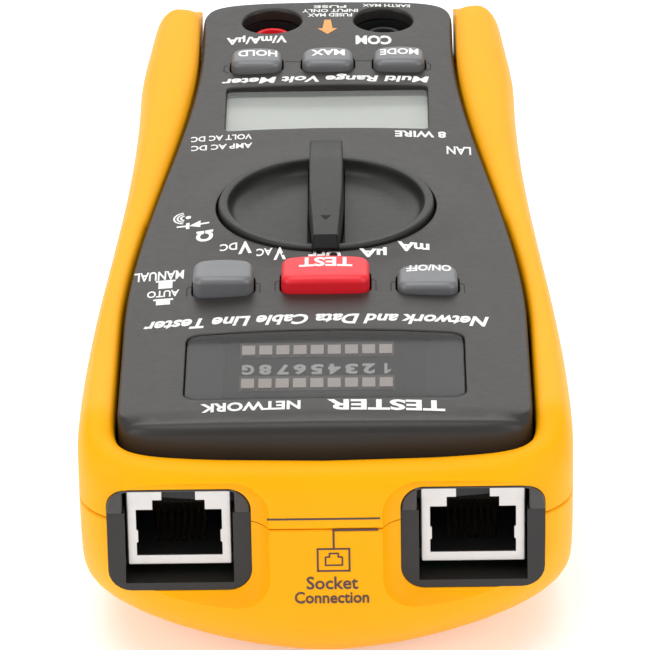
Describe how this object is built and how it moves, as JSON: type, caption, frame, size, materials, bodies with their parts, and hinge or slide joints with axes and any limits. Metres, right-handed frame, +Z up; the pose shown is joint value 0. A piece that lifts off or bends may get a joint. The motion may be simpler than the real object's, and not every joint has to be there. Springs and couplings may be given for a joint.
{
  "type": "network cable tester",
  "caption": "Handheld network cable tester and multimeter with rotary dial, display, keys, pin indicator window, network jacks, plug sockets, battery door and tilt stand.",
  "frame": {"origin": "centre of the footprint, on the table that the back rests on", "axes": "+Z up through the face panel, -Y towards the network jacks, +Y towards the meter sockets, +X to the right seen from the jack end"},
  "size_m": [0.0744, 0.1644, 0.0455],
  "materials": {
    "black_plastic": "fine moulded texture, satin",
    "yellow_grip": "satin overmould, warm yellow",
    "grey_key": "satin",
    "red_plastic": "semi-gloss red",
    "tinted_lens": "polished, smoke tinted",
    "clear_lens": "polished clear",
    "lcd_glass": "grey-green display",
    "white_plastic": "satin",
    "contact_rubber": "matte",
    "dial_plastic": "satin, fine texture",
    "brass": "plated",
    "steel": "plated",
    "part_plastic": "satin",
    "circuit_board": "solder resist",
    "led_housing": "satin",
    "led_lens": "milky",
    "jack_shield": "nickel plated sheet",
    "battery_case": "printed jacket"
  },
  "bodies": {
    "case": {"front_case": "black_plastic", "front_grip": "yellow_grip", "rear_case": "black_plastic", "rear_grip": "yellow_grip", "pinout_lens": "tinted_lens", "lcd_window": "clear_lens", "lcd_module": "lcd_glass", "lcd_frame": "white_plastic", "lcd_contact_strips": "contact_rubber", "detent_ring": "white_plastic", "upper_switches": "part_plastic", "test_switch": "part_plastic", "auto_manual_switch": "part_plastic", "power_switch": "part_plastic", "main_board": "circuit_board", "meter_chips": "part_plastic", "led_blocks": "led_housing", "near_leds": "led_lens", "far_leds": "led_lens", "left_jack_shield": "jack_shield", "left_jack_insulator": "part_plastic", "left_jack_contacts": "brass", "right_jack_shield": "jack_shield", "right_jack_insulator": "part_plastic", "right_jack_contacts": "brass", "jack_board": "circuit_board", "board_header": "part_plastic", "volt_socket": "red_plastic", "volt_sleeve": "brass", "com_socket": "black_plastic", "com_sleeve": "brass", "fuse": "white_plastic", "fuse_clips": "steel", "buzzer": "part_plastic", "battery": "battery_case", "battery_snap": "part_plastic", "battery_leads": "contact_rubber", "case_screws": "steel"},
    "dial": {"dial_knob": "dial_plastic", "dial_rotor": "white_plastic", "dial_wipers": "brass", "detent_springs": "steel", "detent_balls": "steel"},
    "hold": {"hold_key": "grey_key"},
    "max": {"max_key": "grey_key"},
    "mode": {"mode_key": "grey_key"},
    "test": {"test_key": "red_plastic"},
    "auto_manual": {"auto_manual_key": "grey_key"},
    "power": {"power_key": "grey_key"},
    "door": {"battery_door": "black_plastic", "door_screw": "steel"},
    "stand": {"tilt_stand": "black_plastic", "stand_pin": "steel"}
  },
  "joints": [
    {"name": "dial_turn", "type": "hinge", "parent": "case", "child": "dial", "pos_m": [0, 0, 0.041], "axis": [0, 0, 1], "range_deg": [-72, 36]},
    {"name": "hold_press", "type": "slide", "parent": "case", "child": "hold", "axis": [0, 0, -1], "range_m": [0, 0.0008], "stiffness_N_per_m": 1200, "springref_m": -0.0002},
    {"name": "max_press", "type": "slide", "parent": "case", "child": "max", "axis": [0, 0, -1], "range_m": [0, 0.0008], "stiffness_N_per_m": 1200, "springref_m": -0.0002},
    {"name": "mode_press", "type": "slide", "parent": "case", "child": "mode", "axis": [0, 0, -1], "range_m": [0, 0.0008], "stiffness_N_per_m": 1200, "springref_m": -0.0002},
    {"name": "test_press", "type": "slide", "parent": "case", "child": "test", "axis": [0, 0, -1], "range_m": [0, 0.001], "stiffness_N_per_m": 1200, "springref_m": -0.0002},
    {"name": "auto_manual_press", "type": "slide", "parent": "case", "child": "auto_manual", "axis": [0, 0, -1], "range_m": [0, 0.0012], "stiffness_N_per_m": 1000, "springref_m": -0.0002},
    {"name": "power_press", "type": "slide", "parent": "case", "child": "power", "axis": [0, 0, -1], "range_m": [0, 0.0012], "stiffness_N_per_m": 1000, "springref_m": -0.0002},
    {"name": "door_tilt", "type": "hinge", "parent": "case", "child": "door", "pos_m": [0, 0.0044, 0.0015], "axis": [1, 0, 0], "range_deg": [0, 50]},
    {"name": "stand_swing", "type": "hinge", "parent": "case", "child": "stand", "pos_m": [0, 0.068, 0.0022], "axis": [1, 0, 0], "range_deg": [0, 70]}
  ]
}
